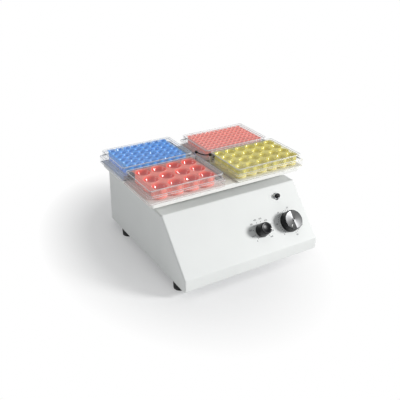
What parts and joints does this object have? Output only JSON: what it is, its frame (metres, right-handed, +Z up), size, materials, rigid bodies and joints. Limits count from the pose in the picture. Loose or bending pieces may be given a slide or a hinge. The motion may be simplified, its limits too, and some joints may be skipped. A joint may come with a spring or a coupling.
{
  "type": "microplate shaker",
  "caption": "Bench orbital shaker: wedge housing with timer and speed dials and a push switch, under an orbiting tray that holds lidded microplates.",
  "frame": {"origin": "on the bench, under the middle of the whole instrument", "axes": "+X to the right seen from the front, +Y to the back, +Z up; the control panel faces -Y"},
  "size_m": [0.275, 0.256, 0.143],
  "materials": {
    "housing_paint": "light grey textured baked paint",
    "sheet_zinc": "zinc plated sheet steel",
    "steel": "turned steel",
    "cast_aluminium": "cast and turned aluminium",
    "spun_aluminium": "spun face",
    "bronze": "sintered bronze",
    "rubber": "matt black rubber",
    "silicone": "pale translucent silicone",
    "motor_black": "black",
    "board_green": "solder mask",
    "component_black": "moulded",
    "coil_amber": "taped winding",
    "black_plastic": "moulded black",
    "chrome": "polished",
    "tray_white": "smooth white baked paint",
    "wire_black": "coated wire",
    "clear_plate": "clear polystyrene",
    "clear_lid": "clear polystyrene",
    "medium_blue": "blue liquid",
    "medium_pink": "coral liquid",
    "medium_red": "red liquid",
    "medium_yellow": "yellow liquid"
  },
  "bodies": {
    "base": {"cover": "housing_paint", "base_plate": "sheet_zinc", "feet": "rubber", "foot_studs": "steel", "drive_frame": "sheet_zinc", "chassis_screws": "steel", "bearing_housing": "cast_aluminium", "spindle_bearings": "steel", "idler_bushes": "bronze", "drive_belt": "rubber", "motor_bracket": "sheet_zinc", "drive_motor": "motor_black", "circuit_board": "board_green", "board_pillars": "bronze", "board_parts": "component_black", "transformer_core": "steel", "transformer_coil": "coil_amber", "mains_inlet": "black_plastic", "inlet_blades": "bronze", "fuse_holder": "black_plastic", "speed_potentiometer": "steel", "timer_unit": "sheet_zinc", "dial_nuts": "steel", "switch_body": "component_black", "switch_bezel": "chrome"},
    "spindle": {"spindle": "steel", "spindle_pulley": "cast_aluminium", "counterweight": "steel"},
    "motor_rotor": {"motor_shaft": "steel", "motor_pulley": "cast_aluminium"},
    "tray": {"tray": "tray_white", "tray_carrier": "cast_aluminium", "tray_bearing": "steel", "plate_pads": "silicone", "retainer_posts": "steel", "retainer_wire": "wire_black"},
    "speed_dial": {"speed_knob": "black_plastic"},
    "timer_dial": {"timer_knob": "black_plastic", "timer_knob_cap": "spun_aluminium"},
    "power_button": {"switch_button": "black_plastic"},
    "fuse": {"fuse_cap": "black_plastic"},
    "idler_front_left": {"idler_front_left": "steel"},
    "idler_front_right": {"idler_front_right": "steel"},
    "idler_rear_left": {"idler_rear_left": "steel"},
    "idler_rear_right": {"idler_rear_right": "steel"},
    "plate_blue": {"plate_blue": "clear_plate", "media_blue": "medium_blue"},
    "lid_blue": {"lid_blue": "clear_lid"},
    "plate_pink": {"plate_pink": "clear_plate", "media_pink": "medium_pink"},
    "lid_pink": {"lid_pink": "clear_lid"},
    "plate_red": {"plate_red": "clear_plate", "media_red": "medium_red"},
    "lid_red": {"lid_red": "clear_lid"},
    "plate_yellow": {"plate_yellow": "clear_plate", "media_yellow": "medium_yellow"},
    "lid_yellow": {"lid_yellow": "clear_lid"}
  },
  "joints": [
    {"name": "spindle_spin", "type": "hinge", "parent": "base", "child": "spindle", "pos_m": [0, 0.027, 0.08], "axis": [0, 0, 1], "continuous": true},
    {"name": "tray_orbit", "type": "hinge", "parent": "spindle", "child": "tray", "pos_m": [0.0015, 0.027, 0.109], "axis": [0, 0, 1], "continuous": true},
    {"name": "motor_spin", "type": "hinge", "parent": "base", "child": "motor_rotor", "pos_m": [-0.062, 0.027, 0.07], "axis": [0, 0, 1], "continuous": true},
    {"name": "idler_front_left_spin", "type": "hinge", "parent": "base", "child": "idler_front_left", "pos_m": [-0.07, -0.015, 0.09], "axis": [0, 0, 1], "continuous": true},
    {"name": "idler_front_right_spin", "type": "hinge", "parent": "base", "child": "idler_front_right", "pos_m": [0.07, -0.015, 0.09], "axis": [0, 0, 1], "continuous": true},
    {"name": "idler_rear_left_spin", "type": "hinge", "parent": "base", "child": "idler_rear_left", "pos_m": [-0.07, 0.069, 0.09], "axis": [0, 0, 1], "continuous": true},
    {"name": "idler_rear_right_spin", "type": "hinge", "parent": "base", "child": "idler_rear_right", "pos_m": [0.07, 0.069, 0.09], "axis": [0, 0, 1], "continuous": true},
    {"name": "speed_turn", "type": "hinge", "parent": "base", "child": "speed_dial", "pos_m": [0.028, -0.10348, 0.05535], "axis": [0, -0.7321, 0.6812], "range_deg": [-21, 249]},
    {"name": "timer_turn", "type": "hinge", "parent": "base", "child": "timer_dial", "pos_m": [0.081, -0.10348, 0.05535], "axis": [0, -0.7321, 0.6812], "range_deg": [-300, 0]},
    {"name": "power_press", "type": "slide", "parent": "base", "child": "power_button", "axis": [0, 0.7321, -0.6812], "range_m": [0, 0.0025], "stiffness_N_per_m": 400},
    {"name": "fuse_turn", "type": "hinge", "parent": "base", "child": "fuse", "pos_m": [-0.024, 0.122, 0.046], "axis": [0, 1, 0], "range_deg": [0, 80]},
    {"name": "plate_blue_lift", "type": "slide", "parent": "tray", "child": "plate_blue", "axis": [0, 0, 1], "range_m": [0, 0.06]},
    {"name": "lid_blue_lift", "type": "slide", "parent": "plate_blue", "child": "lid_blue", "axis": [0, 0, 1], "range_m": [0, 0.06]},
    {"name": "plate_pink_lift", "type": "slide", "parent": "tray", "child": "plate_pink", "axis": [0, 0, 1], "range_m": [0, 0.06]},
    {"name": "lid_pink_lift", "type": "slide", "parent": "plate_pink", "child": "lid_pink", "axis": [0, 0, 1], "range_m": [0, 0.06]},
    {"name": "plate_red_lift", "type": "slide", "parent": "tray", "child": "plate_red", "axis": [0, 0, 1], "range_m": [0, 0.06]},
    {"name": "lid_red_lift", "type": "slide", "parent": "plate_red", "child": "lid_red", "axis": [0, 0, 1], "range_m": [0, 0.06]},
    {"name": "plate_yellow_lift", "type": "slide", "parent": "tray", "child": "plate_yellow", "axis": [0, 0, 1], "range_m": [0, 0.06]},
    {"name": "lid_yellow_lift", "type": "slide", "parent": "plate_yellow", "child": "lid_yellow", "axis": [0, 0, 1], "range_m": [0, 0.06]}
  ],
  "couplings": [
    {"joint": "tray_orbit", "follows": "spindle_spin", "ratio": -1},
    {"joint": "motor_spin", "follows": "spindle_spin", "ratio": 2},
    {"joint": "idler_front_left_spin", "follows": "spindle_spin", "ratio": 1},
    {"joint": "idler_front_right_spin", "follows": "spindle_spin", "ratio": 1},
    {"joint": "idler_rear_left_spin", "follows": "spindle_spin", "ratio": 1},
    {"joint": "idler_rear_right_spin", "follows": "spindle_spin", "ratio": 1}
  ]
}
